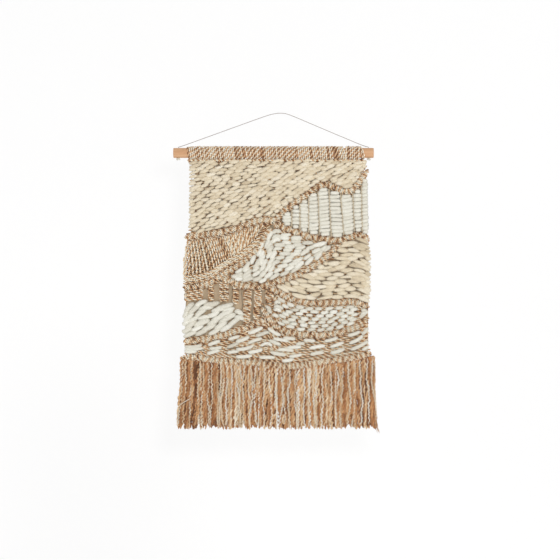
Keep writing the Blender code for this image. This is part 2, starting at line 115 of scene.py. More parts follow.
# one material and its nodes
class Surface:
    def __init__(self, name):
        self.material = bpy.data.materials.new(name)
        self.material.use_nodes = True
        self.tree = self.material.node_tree
        self.shader = self.tree.nodes["Principled BSDF"]

    def node(self, kind, settings=None, inputs=None, output=0):
        made = self.tree.nodes.new(kind)
        for key, value in (settings or {}).items():
            if key == "stops":
                self.setStops(made.color_ramp, value)
            else:
                setattr(made, key, value)
        for key, value in (inputs or {}).items():
            self.feed(made.inputs[key], value)
        return Value(self, made.outputs[output])

    def setStops(self, ramp, stops):
        while len(ramp.elements) < len(stops):
            ramp.elements.new(0.5)
        for element, (place, colour) in zip(ramp.elements, stops):
            element.position = place
            element.color = (*colour, 1)

    def maths(self, operation, first, second=0.0):
        return self.node("ShaderNodeMath", {"operation": operation}, {0: first, 1: second})

    def feed(self, socket, value):
        if isinstance(value, Value):
            self.tree.links.new(value.socket, socket)
        else:
            socket.default_value = value

    def mixColour(self, factor, first, second, blend="MIX"):
        made = self.tree.nodes.new("ShaderNodeMix")
        made.data_type = "RGBA"
        made.blend_type = blend
        self.feed(made.inputs["Factor"], factor)
        self.feed(made.inputs["A"], first if isinstance(first, Value) else (*first, 1))
        self.feed(made.inputs["B"], second if isinstance(second, Value) else (*second, 1))
        return Value(self, made.outputs["Result"])

    def noise(self, vector, scale, detail=2.0, roughness=0.5):
        return self.node("ShaderNodeTexNoise", {},
                         {"Vector": vector, "Scale": scale, "Detail": detail, "Roughness": roughness})

    def objectPlace(self, stretch=(1, 1, 1)):
        place = self.node("ShaderNodeTexCoord", {}, {}, "Object")
        return self.node("ShaderNodeMapping", {}, {"Vector": place, "Scale": stretch})

    def strandPlace(self, stretch):
        place = self.node("ShaderNodeUVMap", {"uv_map": "UVMap"}, {})
        return self.node("ShaderNodeMapping", {}, {"Vector": place, "Scale": stretch})

    def attribute(self, name):
        return self.node("ShaderNodeAttribute", {"attribute_name": name}, {}, "Fac")

    def bump(self, height, strength, distance):
        return self.node("ShaderNodeBump", {}, {"Height": height, "Strength": strength, "Distance": distance})

    def ranged(self, value, low, high, first, last):
        return self.node("ShaderNodeMapRange", {}, {"Value": value, "From Min": low, "From Max": high,
                                                    "To Min": first, "To Max": last})

    def finish(self, **inputs):
        for key, value in inputs.items():
            self.feed(self.shader.inputs[key.replace("_", " ")], value)
        return self.material


def colour(red, green, blue):
    return tuple(((c / 255 + 0.055) / 1.055) ** 2.4 for c in (red, green, blue))


# yarn: fibre streaks run along each ply, the grooves between plies get painted shade (a mix towards a dark
# colour), and each strand has its own tone
def yarnMaterial(name, stops, lobes=0, fibre=0.35, grain=0.25, sheen=0.25, marl=0.0, grooveShade=0.0, grooveShadeColour=None):
    made = Surface(name)
    tone = made.attribute("tone")
    patch = made.noise(made.objectPlace(), 60, 3)
    place = made.node("ShaderNodeUVMap", {"uv_map": "UVMap"})
    around = made.node("ShaderNodeSeparateXYZ", {}, {"Vector": place}, "Y")
    along = made.noise(made.strandPlace((90, 9, 1)), 1.0, 4, 0.65)
    fine = made.noise(made.strandPlace((300, 34, 1)), 1.0, 3, 0.7)
    level = tone + grain * (patch - 0.5) + fibre * (along - 0.5)
    if marl:
        level = level + marl * made.maths("SINE", around * (2 * math.pi) + math.pi / 2)
    base = made.node("ShaderNodeValToRGB", {"stops": stops}, {"Fac": level})
    shade = made.ranged(fine, 0.3, 0.72, 0.80, 1.14)
    height = fine * 0.6 + along * 0.6
    if lobes:
        # painted shade: the grooves between the plies are mixed towards a dark colour, strongest in the
        # middle of each groove; the same mask also sinks the bump
        depth = 0.5 - 0.5 * made.maths("COSINE", around * (2 * math.pi * lobes))
        base = made.mixColour(grooveShade * depth ** 2.0, base, grooveShadeColour)
        height = height - depth
    base = made.mixColour(1.0, base, made.node("ShaderNodeCombineColor", {}, {0: shade, 1: shade, 2: shade}),
                          "MULTIPLY")
    return made.finish(Base_Color=base, Roughness=0.92, Normal=made.bump(height, 0.6, 0.0007),
                       Sheen_Weight=sheen, Sheen_Roughness=0.5)


def woodMaterial():
    made = Surface("paleWoodGrain")
    long = made.noise(made.objectPlace((9, 170, 170)), 1.0, 5, 0.6)
    fine = made.noise(made.objectPlace((40, 900, 900)), 1.0, 3, 0.6)
    base = made.node("ShaderNodeValToRGB", {"stops": woodStops}, {"Fac": long * 0.75 + fine * 0.3})
    return made.finish(Base_Color=base, Roughness=made.ranged(fine, 0.3, 0.7, 0.5, 0.68),
                       Normal=made.bump(fine, 0.25, 0.0003))


def clothMaterial():
    made = Surface("plainWeaveLinen")
    place = made.objectPlace()
    across = made.node("ShaderNodeSeparateXYZ", {}, {"Vector": place}, "X")
    down = made.node("ShaderNodeSeparateXYZ", {}, {"Vector": place}, "Z")
    threadPitch = 0.0011
    weft = made.maths("SINE", down * (2 * math.pi / threadPitch))
    warp = made.maths("SINE", across * (2 * math.pi / threadPitch))
    weave = weft * warp * 0.5 + 0.5
    slub = made.noise(made.objectPlace((30, 1, 700)), 1.0, 3) * 0.5 + made.noise(
        made.objectPlace((700, 1, 30)), 1.0, 3) * 0.5
    base = made.node("ShaderNodeValToRGB", {"stops": linenStops}, {"Fac": weave * 0.3 + slub * 0.7})
    return made.finish(Base_Color=base, Roughness=0.95, Normal=made.bump(weave, 0.5, 0.0004),
                       Sheen_Weight=0.2)


def stops(*rows):
    return [(place, colour(*parts)) for place, *parts in rows]


juteStops = stops((0.0, 112, 68, 34), (0.25, 186, 132, 82), (0.5, 231, 186, 138), (0.75, 252, 225, 184),
                  (1.0, 255, 247, 226))
headerStops = stops((0.0, 118, 72, 38), (0.25, 194, 140, 92), (0.5, 238, 192, 143), (0.75, 255, 229, 190),
                    (1.0, 255, 249, 232))
creamStops = stops((0.0, 188, 168, 136), (0.5, 223, 209, 182), (1.0, 237, 228, 209))
whiteStops = stops((0.0, 198, 190, 172), (0.5, 225, 221, 207), (1.0, 239, 237, 227))
fringeStops = stops((0.0, 96, 58, 30), (0.2, 164, 108, 64), (0.42, 206, 154, 104), (0.62, 226, 194, 152),
                    (0.82, 243, 228, 203), (1.0, 252, 248, 236))
linenStops = stops((0.0, 172, 148, 118), (0.5, 208, 186, 156), (1.0, 228, 211, 184))
woodStops = stops((0.3, 170, 116, 76), (0.5, 201, 154, 113), (0.72, 222, 182, 143))
stringStops = stops((0.0, 150, 140, 134), (0.5, 182, 173, 167), (1.0, 206, 199, 193))
cottonStops = stops((0.0, 170, 150, 120), (0.5, 212, 196, 168), (1.0, 232, 222, 200))


# the yarn's section: a ring with as many lobes as the yarn has plies
def plyProfile(name, sides, lobes, depth):
    curve = bpy.data.curves.new(name, "CURVE")
    spline = curve.splines.new("POLY")
    spline.points.add(sides - 1)
    spline.use_cyclic_u = True
    for index, point in enumerate(spline.points):
        turn = 2 * math.pi * index / sides
        size = (1 + depth * math.cos(lobes * turn)) / (1 + depth)
        point.co = (size * math.cos(turn), size * math.sin(turn), 0, 1)
    guide = addObject(name, curve)
    guide.hide_render = True
    return guide


profiles = {
    "rope": (plyProfile("ropeSection", 8, 2, 0.0), 8),
    "twoPly": (plyProfile("twoPlySection", 8, 2, 0.42), 8),
    "string": (plyProfile("stringSection", 8, 2, 0.12), 8),
    "hair": (plyProfile("hairSection", 3, 1, 0.0), 3),
}


# one strand: its points, its radius at each point, the turns of its twist and its tone
class Strand:
    def __init__(self, points, radius, pitch=None, tone=0.5, closed=False, phase=0.0):
        points = np.asarray(points, dtype=float)
        steps = np.linalg.norm(np.diff(points, axis=0), axis=1)
        kept = np.r_[True, steps > 1e-6]
        self.points = points[kept]
        self.radius = np.broadcast_to(np.asarray(radius, dtype=float), (len(points),))[kept]
        self.tone = np.broadcast_to(np.asarray(tone, dtype=float), (len(points),))[kept]
        self.along = np.r_[0.0, np.cumsum(steps)][kept]
        self.tilt = phase + (2 * math.pi * self.along / pitch if pitch else 0 * self.along)
        self.closed = closed


def strandPiece(name, strands, profile, material, body, replaces=(), slot=None):
    guide, sides = profiles[profile]
    curve = bpy.data.curves.new(name, "CURVE")
    curve.dimensions = "3D"
    curve.bevel_mode = "OBJECT"
    curve.bevel_object = guide
    for strand in strands:
        spline = curve.splines.new("POLY")
        count = len(strand.points)
        spline.points.add(count - 1)
        spline.use_cyclic_u = strand.closed
        spline.points.foreach_set("co", np.c_[strand.points, np.ones(count)].ravel())
        spline.points.foreach_set("radius", strand.radius)
        spline.points.foreach_set("tilt", strand.tilt)
    draft = addObject(name + "Draft", curve)
    graph = bpy.context.evaluated_depsgraph_get()
    mesh = bpy.data.meshes.new_from_object(draft.evaluated_get(graph))
    bpy.data.objects.remove(draft)
    mesh.name = name
    markStrands(mesh, strands, sides)
    closeEnds(mesh)
    mesh.materials.clear()
    mesh.materials.append(material)
    mesh.shade_smooth()
    piece = addObject(name, mesh)
    finishPiece(piece, body, replaces, slot)
    return piece


# tone of each strand, and a UV map in metres along it
def markStrands(mesh, strands, sides):
    tone = np.concatenate([np.repeat(strand.tone, sides) for strand in strands])
    start = np.concatenate([np.full(len(strand.points) * sides, rng.random() * 3) for strand in strands])
    length = np.concatenate([np.full(len(strand.points) * sides, strand.along[-1]) for strand in strands])
    if len(tone) != len(mesh.vertices):
        raise RuntimeError(f"{mesh.name}: {len(tone)} marks for {len(mesh.vertices)} corners")
    mesh.attributes.new("tone", "FLOAT", "POINT").data.foreach_set("value", tone)
    corner = np.zeros(len(mesh.loops), dtype=np.int32)
    mesh.loops.foreach_get("vertex_index", corner)
    uv = np.zeros(len(mesh.loops) * 2, dtype=np.float32)
    mesh.uv_layers[0].data.foreach_get("uv", uv)
    uv = uv.reshape(-1, 2)
    uv[:, 0] = uv[:, 0] * length[corner] + start[corner]
    mesh.uv_layers[0].data.foreach_set("uv", uv.ravel())


def closeEnds(mesh):
    builder = bmesh.new()
    builder.from_mesh(mesh)
    bmesh.ops.remove_doubles(builder, verts=builder.verts, dist=0.000003)
    if builder.calc_volume(signed=True) < 0:
        bmesh.ops.reverse_faces(builder, faces=builder.faces)
    builder.to_mesh(mesh)
    builder.free()


def finishPiece(piece, body, replaces=(), slot=None):
    if body:
        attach(piece, body)
    if replaces:
        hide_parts(*replaces)
    if slot:
        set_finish(piece, slot)


# heights of a woven area above and below at each place across it
class Area:
    def __init__(self, node):
        low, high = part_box(node)
        mesh = frame["nodes"][node].data
        corners = [corner.co.copy() for corner in mesh.vertices]
        tree = BVHTree.FromPolygons(corners, [tuple(face.vertices) for face in mesh.polygons])
        middle = (low.y + high.y) / 2
        rows = []
        for x in np.arange(low.x + 0.0004, high.x - 0.0003, 0.0006):
            top = tree.ray_cast(Vector((x, middle, high.z + 0.01)), Vector((0, 0, -1)))[0]
            foot = tree.ray_cast(Vector((x, middle, low.z - 0.01)), Vector((0, 0, 1)))[0]
            if top is not None and foot is not None:
                rows.append((x, foot.z, top.z))
        self.x, self.foot, self.top = np.array(rows).T

    def span(self, x):
        return np.interp(x, self.x, self.foot), np.interp(x, self.x, self.top)

    def holds(self, points, margin=0.0):
        foot, top = self.span(points[:, 0])
        return ((points[:, 0] >= self.x[0] + margin) & (points[:, 0] <= self.x[-1] - margin)
                & (points[:, 1] >= foot + margin) & (points[:, 1] <= top - margin))

    def across(self, z):
        inside = self.x[(self.foot <= z) & (self.top >= z)]
        return (inside[0], inside[-1]) if len(inside) else None


def resample(points, step):
    points = np.asarray(points, dtype=float)
    steps = np.linalg.norm(np.diff(points, axis=0), axis=1)
    along = np.concatenate([[0.0], np.cumsum(steps)])
    count = max(2, int(round(along[-1] / step)) + 1)
    places = np.linspace(0, along[-1], count)
    return np.stack([np.interp(places, along, points[:, axis]) for axis in range(points.shape[1])], axis=1)


# thin at both ends and full between them
def taper(count, ends=2):
    shape = np.ones(count)
    for index in range(min(ends, count // 2)):
        shape[index] = shape[-1 - index] = math.sin(math.pi / 2 * index / ends)
    return shape


# a smooth drift to either side along a strand
def wander(count, scale, smooth):
    rough = rng.normal(0, 1, count + 2 * smooth)
    kernel = np.hanning(2 * smooth + 1)
    kernel /= np.sqrt((kernel ** 2).sum())
    return scale * np.convolve(rough, kernel, mode="valid")[:count]


# a yarn's radius, thin at its ends and a little uneven along it
def unevenRadius(radius, count, amount, smooth):
    return radius * taper(count, 3) * (1 + wander(count, amount, smooth))


def taperedStrand(line, radius, twist, tone, ends=3):
    return Strand(line, radius * taper(len(line), ends), twist, tone)


# a line without the sudden drops that an area has at its two ends
def eased(x, z, steepest=1.1):
    z = z.copy()
    middle = len(z) // 2
    for index in range(middle + 1, len(z)):
        reach = steepest * (x[index] - x[index - 1])
        z[index] = min(max(z[index], z[index - 1] - reach), z[index - 1] + reach)
    for index in range(middle - 1, -1, -1):
        reach = steepest * (x[index + 1] - x[index])
        z[index] = min(max(z[index], z[index + 1] - reach), z[index + 1] + reach)
    return z


# rows that fan out between the foot and the top of an area
def fanRows(area, spacing, margin=0.0, thin=0.62):
    height = area.top - area.foot - 2 * margin
    count = max(1, int(round(height.max() / spacing)))
    rows = []
    for number in range(count):
        share = (number + 0.5) / count
        local = height / count
        shown = local > thin * spacing
        shown |= (local > thin * spacing / 2) & (number % 2 == 1)
        shown |= (local > thin * spacing / 4) & (number % 4 == 1)
        shown |= (local > thin * spacing / 8) & (number % 8 == 3)
        rows.append((np.c_[area.x, eased(area.x, area.foot + margin + share * height)], shown))
    return rows


# rows that keep the slope of the area's foot
def evenRows(area, spacing):
    foot = eased(area.x, area.foot, 0.8)
    rows = []
    for number in range(int((area.top - area.foot).max() / spacing) + 1):
        line = np.c_[area.x, foot + (number + 0.5) * spacing]
        rows.append((line, area.holds(line)))
    return rows


def runs(shown):
    edges = np.flatnonzero(np.diff(np.r_[False, shown, False].astype(int)))
    return list(zip(edges[::2], edges[1::2]))


def lineParts(rows, shortest):
    for number, (line, shown) in enumerate(rows):
        for start, stop in runs(shown):
            part = line[start:stop]
            steps = np.r_[0.0, np.cumsum(np.linalg.norm(np.diff(part, axis=0), axis=1))]
            if steps[-1] > shortest:
                yield number, part, steps


dashYarn = {"twist": 0.09, "tone": 0.55, "toneSpread": 0.14, "bow": 0.08}


# one stitch of soft rope that comes up from behind, lies over the front and goes back down
def dash(part, steps, start, stop, settings):
    half = (stop - start) / 2
    share = -np.cos(np.linspace(0, math.pi, settings["corners"]))
    place = (start + stop) / 2 + share * half
    x = np.interp(place, steps, part[:, 0])
    z = np.interp(place, steps, part[:, 1])
    tilt = math.radians(settings["tilt"] + rng.normal(0, settings["tiltSpread"]))
    middleX, middleZ = x.mean(), z.mean()
    dx, dz = x - middleX, z - middleZ
    x = middleX + dx * math.cos(tilt) - dz * math.sin(tilt)
    z = middleZ + dx * math.sin(tilt) + dz * math.cos(tilt)
    z = z + rng.normal(0, dashYarn["bow"]) * half * (1 - share ** 2)
    lift = rng.normal(0, settings["lift"])
    y = settings["front"] + lift + settings["dip"] * np.abs(share) ** 3
    size = settings["radius"] * (1 + rng.normal(0, settings["spread"]))
    size = min(size, half * 0.9)
    radius = size * (1 - np.abs(share) ** settings["fullness"]) ** 0.55
    return Strand(np.c_[x, y, z], radius, dashYarn["twist"] * rng.choice([-1, 1]),
                  dashYarn["tone"] + rng.normal(0, dashYarn["toneSpread"]), phase=rng.random() * 6)


def layDashes(rows, settings):
    strands = []
    for number, part, steps in lineParts(rows, settings["shortest"]):
        period = (sum(settings["length"]) + sum(settings["gap"])) / 2
        place = part[0, 0] // period * period - part[0, 0]
        place -= period * (0.5 * (number % 2) + rng.uniform(-0.10, 0.10))
        spans = []
        while place < steps[-1]:
            size = rng.uniform(*settings["length"])
            begin = place + rng.uniform(-0.09, 0.09) * period
            start, stop = max(begin, 0), min(begin + size, steps[-1])
            if stop - start > settings["shortest"]:
                spans.append([start, stop])
            place += period
        if spans and spans[0][0] < settings["shortest"]:
            spans[0][0] = 0
        if spans and steps[-1] - spans[-1][1] < settings["shortest"]:
            spans[-1][1] = steps[-1]
        strands += [dash(part, steps, start, stop, settings) for start, stop in spans]
    return strands


# twisted weft that goes over and under the warps
def layWeft(rows, settings, tones):
    strands = []
    for number, part, steps in lineParts(rows, settings["shortest"]):
        line = resample(part, settings["twist"] / settings["perTwist"])
        count = len(line)
        wave = np.cos(math.pi * line[:, 0] / settings["warp"] + math.pi * number)
        y = settings["front"] + settings["wave"] * wave + wander(count, 0.0003, 6)
        z = line[:, 1] + wander(count, settings["stray"], 10)
        radius = unevenRadius(settings["radius"], count, 0.08, 8)
        tone = tones(1)[0] + wander(count, 0.08, 30)
        strands.append(Strand(np.c_[line[:, 0], y, z], radius, settings["twist"], tone,
                              phase=rng.random() * 6))
    return strands


# left and right of a column at each height, with its slanted ends squared off
def columnSides(area):
    rows = []
    for z in np.arange(area.foot.min(), area.top.max(), 0.001):
        ends = area.across(z)
        if ends is not None:
            rows.append((z, ends[0], ends[1]))
    rows = np.array(rows)
    widths = rows[:, 2] - rows[:, 1]
    return rows[widths > 0.88 * widths.max()].T


# closed turns of yarn stacked down a column
def wrapColumn(area, settings, tones):
    strands = []
    heights, lefts, rights = columnSides(area)
    middle = (lefts.mean() + rights.mean()) / 2
    foot, top = area.span(middle)
    count = max(1, int(round((top - foot) / settings["pitch"])))
    pitch = (top - foot) / count
    slant = rng.uniform(*settings["slant"])
    corner = np.linspace(0, 2 * math.pi, settings["corners"], endpoint=False)
    across = np.sign(np.cos(corner)) * np.abs(np.cos(corner)) ** 0.8
    front = np.where(np.sin(corner) < 0, 1, -1)
    for number in range(count):
        z = foot + (number + 0.5) * pitch + rng.normal(0, 0.03) * pitch
        left, right = np.interp(z, heights, lefts), np.interp(z, heights, rights)
        size = settings["radius"] * (1 + rng.normal(0, 0.05))
        end = min(number, count - 1 - number)
        reach = max((right - left) / 2 - size * (0.8 if end else 1.35), size * 0.5)
        x = (left + right) / 2 + reach * across + rng.normal(0, 0.0004)
        y = settings["middle"] + settings["depth"] * np.sin(corner)
        lean = (slant + rng.normal(0, 0.05)) * (1 if end else 0.5)
        z = z + lean * reach * np.cos(corner) * front
        strands.append(Strand(np.c_[x, y, z], size, settings["twist"], tones(1)[0], closed=True,
                              phase=rng.random() * 6))
    return strands


# a pale warp that shows between two columns
def warpBetween(left, right, settings):
    foot, top = max(left.foot.min(), right.foot.min()), min(left.top.max(), right.top.max())
    heights = np.arange(foot, top, 0.002)
    leftRows, rightRows = columnSides(left), columnSides(right)
    x = (np.interp(heights, leftRows[0], leftRows[2]) + np.interp(heights, rightRows[0], rightRows[1])) / 2
    line = np.c_[x, np.full(len(x), settings["y"]), heights]
    line = resample(line, settings["twist"] / settings["perTwist"])
    return taperedStrand(line, settings["radius"], settings["twist"], settings["tone"], 2)


# camera and stage
view = {"distance": 3.358, "height": -0.4229, "lens": 85, "floor": -1.40, "wall": 1.1, "wallTop": 3.0}
camera = addObject("camera", bpy.data.cameras.new("camera"))
camera.data.lens = view["lens"]
camera.data.sensor_width = 36
camera.location = (0, -view["distance"], view["height"])
camera.rotation_euler = (math.pi / 2, 0, 0)
bpy.context.scene.camera = camera


def stageMaterial():
    made = Surface("paleBackdrop")
    made.finish(Base_Color=(0.35, 0.35, 0.35, 1), Roughness=0.9, Emission_Color=(1, 1, 1, 1),
                Emission_Strength=0.655)
    behind = made.node("ShaderNodeNewGeometry", {}, {}, "Backfacing")
    clear = made.node("ShaderNodeBsdfTransparent")
    solid = Value(made, made.shader.outputs[0])
    both = made.node("ShaderNodeMixShader", {}, {0: behind, 1: solid, 2: clear})
    made.feed(made.tree.nodes["Material Output"].inputs["Surface"], both)
    return made.material


def makeStage():
    builder = bmesh.new()
    bmesh.ops.create_grid(builder, x_segments=1, y_segments=1, size=5)
    wallEdge = [edge for edge in builder.edges if all(corner.co.y > 4 for corner in edge.verts)]
    for corner in wallEdge[0].verts:
        corner.co.y = view["wall"]
    raised = bmesh.ops.extrude_edge_only(builder, edges=wallEdge)
    for part in raised["geom"]:
        if isinstance(part, bmesh.types.BMVert):
            part.co.z = view["wallTop"] - view["floor"]
    bmesh.ops.translate(builder, verts=builder.verts, vec=(0, 0, view["floor"]))
    bmesh.ops.recalc_face_normals(builder, faces=builder.faces)
    mesh = bpy.data.meshes.new("backdrop")
    builder.to_mesh(mesh)
    builder.free()
    if mesh.polygons[0].normal.z < 0:
        mesh.flip_normals()
    backdrop = addObject("backdrop", mesh)
    mesh.materials.append(stageMaterial())


def areaLight(name, place, target, size, power):
    light = bpy.data.lights.new(name, "AREA")
    light.shape = "DISK"
    light.size = size
    light.energy = power
    lamp = addObject(name, light)
    lamp.location = place
    lamp.rotation_euler = (Vector(target) - Vector(place)).to_track_quat("-Z", "Y").to_euler()


makeStage()
areaLight("keyLight", (1.6, -2.6, 1.5), (0, 0, -0.4), 1.2, 26)
areaLight("fillLight", (-2.4, -2.4, 0.4), (0, 0, -0.4), 2.0, 11)
areaLight("frontLight", (0.13, -3.0, -0.24), (0, 0, -0.42), 0.17, 18)
areaLight("backLight", (1.2, 2.8, 1.0), (0, 0, -0.4), 2.0, 40)
world = bpy.data.worlds.new("paleWorld")
world.use_nodes = True
world.node_tree.nodes["Background"].inputs["Color"].default_value = (1, 1, 1, 1)
world.node_tree.nodes["Background"].inputs["Strength"].default_value = 0.55
bpy.context.scene.world = world
bpy.context.scene.view_settings.view_transform = "Standard"
print("camera, stage and lights")

# each yarn below gets a dark colour and an amount of painted shade for the grooves between its plies
juteLook = {"lobes": 2, "fibre": 0.25, "grain": 0.25, "grooveShadeColour": colour(104, 64, 32)}
paint = {
    "jute": yarnMaterial("juteYarn", juteStops, marl=0.38, grooveShade=0.28, **juteLook),
    "ridge": yarnMaterial("ridgeYarn", juteStops, marl=0.42, grooveShade=0.28, **juteLook),
    "header": yarnMaterial("headerYarn", headerStops, marl=0.44, grooveShade=0.20, **juteLook),
    "cream": yarnMaterial("creamRoving", creamStops, 0, 0.5, 0.35, 0.4),
    "white": yarnMaterial("whiteRope", whiteStops, 0, 0.35, 0.25, 0.35),
    "fringe": yarnMaterial("fringeYarn", fringeStops, 2, 0.35, 0.15, marl=0.04, grooveShade=0.28,
                           grooveShadeColour=colour(120, 78, 46)),
    "string": yarnMaterial("hangingString", stringStops, 2, 0.1, 0.1, grooveShade=0.08,
                           grooveShadeColour=colour(130, 122, 116)),
    "knot": yarnMaterial("knotString", whiteStops, 2, 0.2, 0.1, grooveShade=0.2, grooveShadeColour=colour(196, 186, 166)),
    "cotton": yarnMaterial("warpCotton", cottonStops, 2, 0.3, 0.2, grooveShade=0.5, grooveShadeColour=colour(140, 118, 90)),
    "wood": woodMaterial(),
    "linen": clothMaterial(),
}


def mixedTones(values, weights, spread=0.05):
    def pick(count):
        chosen = rng.choice(values, size=count, p=np.array(weights) / sum(weights))
        return chosen + rng.normal(0, spread, count)
    return pick


# hanging cord, a two-ply string taut over the hook point
cord = {"diameter": 0.0016, "ply": 0.0046, "step": 0.0006, "fullness": 1.24}
cordRoute = [
    (-0.2585, -0.0872), (-0.2585, -0.0865), (-0.2570, -0.0855), (-0.2530, -0.0842), (-0.2400, -0.0799),
    (-0.2200, -0.0727), (-0.1900, -0.0619), (-0.1600, -0.0511), (-0.1300, -0.0402), (-0.1000, -0.0294),
    (-0.0700, -0.0186), (-0.0450, -0.0096), (-0.0280, -0.0040), (-0.0150, -0.0009), (-0.0050, 0.0006),
    (0.0040, 0.0007), (0.0140, -0.0005), (0.0270, -0.0044), (0.0450, -0.0119), (0.0700, -0.0225),
    (0.1000, -0.0352), (0.1300, -0.0479), (0.1600, -0.0605), (0.1850, -0.0711), (0.2050, -0.0793),
    (0.2160, -0.0831), (0.2235, -0.0852), (0.2255, -0.0865), (0.2255, -0.0872)]
cordLine = np.array([(x, 0, z) for x, z in cordRoute])
cordPoints = resample(cordLine, cord["step"])
cordSize = cord["diameter"] / 2 * cord["fullness"] * taper(len(cordPoints), 2)
string = strandPiece("hangingString", [Strand(cordPoints, cordSize, cord["ply"], 0.55)], "string",
                     paint["string"], "hanger", ["hanging_cord"], "hanging_string")
print("hanging cord")

# dowel, and a knot of the same string under each end
knot = {"width": 0.0040, "height": 0.0018, "depth": 0.0034, "radius": 0.0020, "rise": 0.0033,
        "lift": 0.0012, "stem": 0.0009, "tail": 0.0011, "step": 0.0005}
dowel = frame["nodes"]["dowel"]
dowel.data.materials.clear()
dowel.data.materials.append(paint["wood"])
for node in ("knot_left", "knot_right"):
    low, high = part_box(node)
    middle = Vector(((low.x + high.x) / 2, 0, low.z + knot["rise"]))
    turn = np.linspace(0, 2 * math.pi, 61)[:-1]
    loop = np.c_[np.sin(turn) + 2 * np.sin(2 * turn), np.cos(turn) - 2 * np.cos(2 * turn),
                 -np.sin(3 * turn)] / 3
    first = loop * (knot["width"], knot["depth"], knot["height"]) + np.array(middle)
    second = loop[:, [1, 0, 2]] * (knot["width"] * 0.8, knot["depth"], knot["height"])
    second = second + np.array(middle) + (0, 0, knot["lift"])
    loops = [Strand(first, knot["radius"], cord["ply"], 0.6, closed=True),
             Strand(second, knot["radius"], cord["ply"], 0.5, closed=True)]
    stem = resample([(middle.x, 0, middle.z), (middle.x, 0, high.z)], knot["step"])
    loops.append(taperedStrand(stem, knot["stem"], cord["ply"], 0.5, 1))
    side = -1 if middle.x < 0 else 1
    end = resample([(middle.x, -0.001, middle.z), (middle.x + side * 0.0015, -0.002, low.z + 0.001),
                    (middle.x + side * 0.0030, -0.002, low.z + 0.0002)], knot["step"])
    loops.append(taperedStrand(end, knot["tail"], cord["ply"], 0.45, 2))
    strandPiece(node.replace("knot_", "stringKnot_"), loops, "string", paint["knot"], "dowel", [node],
                "hanging_string")
print("dowel and knots")

# header: short runs of mixed yarn wound round the dowel, thinner at both ends to clear the cord
header = {"radius": 0.0027, "twist": 0.0128, "pitch": 0.0051, "reach": 0.0152, "endLength": 0.016,
          "endDrop": 0.0014, "endThinner": 0.22}
low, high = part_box("header_wraps")
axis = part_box("dowel")
axisHeight = (axis[0].z + axis[1].z) / 2
headerTones = mixedTones([0.22, 0.50, 0.72, 0.94], [3, 5, 5, 5], 0.04)


def headerTurns():
    strands = []
    x = low.x + header["radius"]
    while x < high.x - header["pitch"]:
        turns = int(rng.integers(3, 9))
        turns = min(turns, int((high.x - header["radius"] - x) / header["pitch"]))
        if turns < 1:
            break
        slant = rng.normal(0.04, 0.10)
        pitch = header["pitch"] * rng.uniform(0.94, 1.06)
        count = int(turns * 2 * math.pi * header["reach"] / (header["twist"] / 8))
        angle = np.linspace(0, 2 * math.pi * turns, count)
        place = x + angle / (2 * math.pi) * pitch + slant * header["reach"] * np.sin(angle - math.pi / 2)
        place = np.clip(place, low.x + header["radius"], high.x - header["radius"])
        nearEnd = np.clip(1 - np.minimum(place - low.x, high.x - place) / header["endLength"], 0, 1)
        reach = header["reach"] + wander(count, 0.0002, 12) - header["endDrop"] * nearEnd
        points = np.c_[place, -reach * np.sin(angle - 0.5), axisHeight + reach * np.cos(angle - 0.5)]
        tone = headerTones(turns + 2)[(angle / (2 * math.pi)).astype(int)]
        size = unevenRadius(header["radius"], count, 0.06, 10) * (1 - header["endThinner"] * nearEnd)
        strands.append(Strand(points, size, header["twist"], tone, phase=rng.random() * 6))
        x += turns * pitch + rng.choice([-0.0012, 0.0, 0.0022], p=[0.4, 0.4, 0.2])
    return strands


strandPiece("headerTurns", headerTurns(), "twoPly", paint["header"], "panel", ["header_wraps"], "header_yarn")

# ridges: yarn wrapped slantwise round a core, as soumak lies
ridge = {"radius": 0.0028, "turn": 0.0064, "slant": -0.0046, "twist": 0.0150, "depth": 0.0048,
         "middle": -0.0010, "roundEnd": 0.007, "half": 0.0083, "baseHalf": 0.0086,
         "edgeRadius": 0.0025, "edgeOut": 0.0008, "edgeY": 0.0016}


def centreLine(area):
    return np.c_[area.x, (area.foot + area.top) / 2][1:-1]


def wrappedRope(path, halfWidth, settings, tones):
    path = resample(path, 0.0005)
    along = np.r_[0.0, np.cumsum(np.linalg.norm(np.diff(path, axis=0), axis=1))]
    length = along[-1]
    turns = length / settings["turn"]
    perimeter = math.pi * (halfWidth + settings["depth"])
    count = int(turns * perimeter / (settings["twist"] / 8)) + 2
    angle = np.linspace(0, 2 * math.pi * turns, count)
    place = angle / (2 * math.pi) * settings["turn"] + settings["slant"] * np.cos(angle)
    place = np.clip(place, 0, length)
    x = np.interp(place, along, path[:, 0])
    z = np.interp(place, along, path[:, 1])
    slope = np.gradient(path[:, 1]) / np.maximum(np.gradient(path[:, 0]), 1e-6)
    tilt = np.arctan(np.interp(place, along, slope))
    wobble = 1 + wander(count, 0.06, 30)
    ends = np.clip(np.minimum(place, length - place) / settings["roundEnd"], 0.06, 1)
    wobble = wobble * np.sqrt(1 - (1 - ends) ** 2)
    across = (halfWidth - settings["radius"]) * np.cos(angle) * wobble
    depth = settings["depth"] * np.sin(angle) * wobble
    points = np.c_[x - across * np.sin(tilt), settings["middle"] - depth, z + across * np.cos(tilt)]
    tone = tones(int(turns) + 3)[(angle / (2 * math.pi)).astype(int)]
    return Strand(points, unevenRadius(settings["radius"], count, 0.07, 10), settings["twist"], tone)


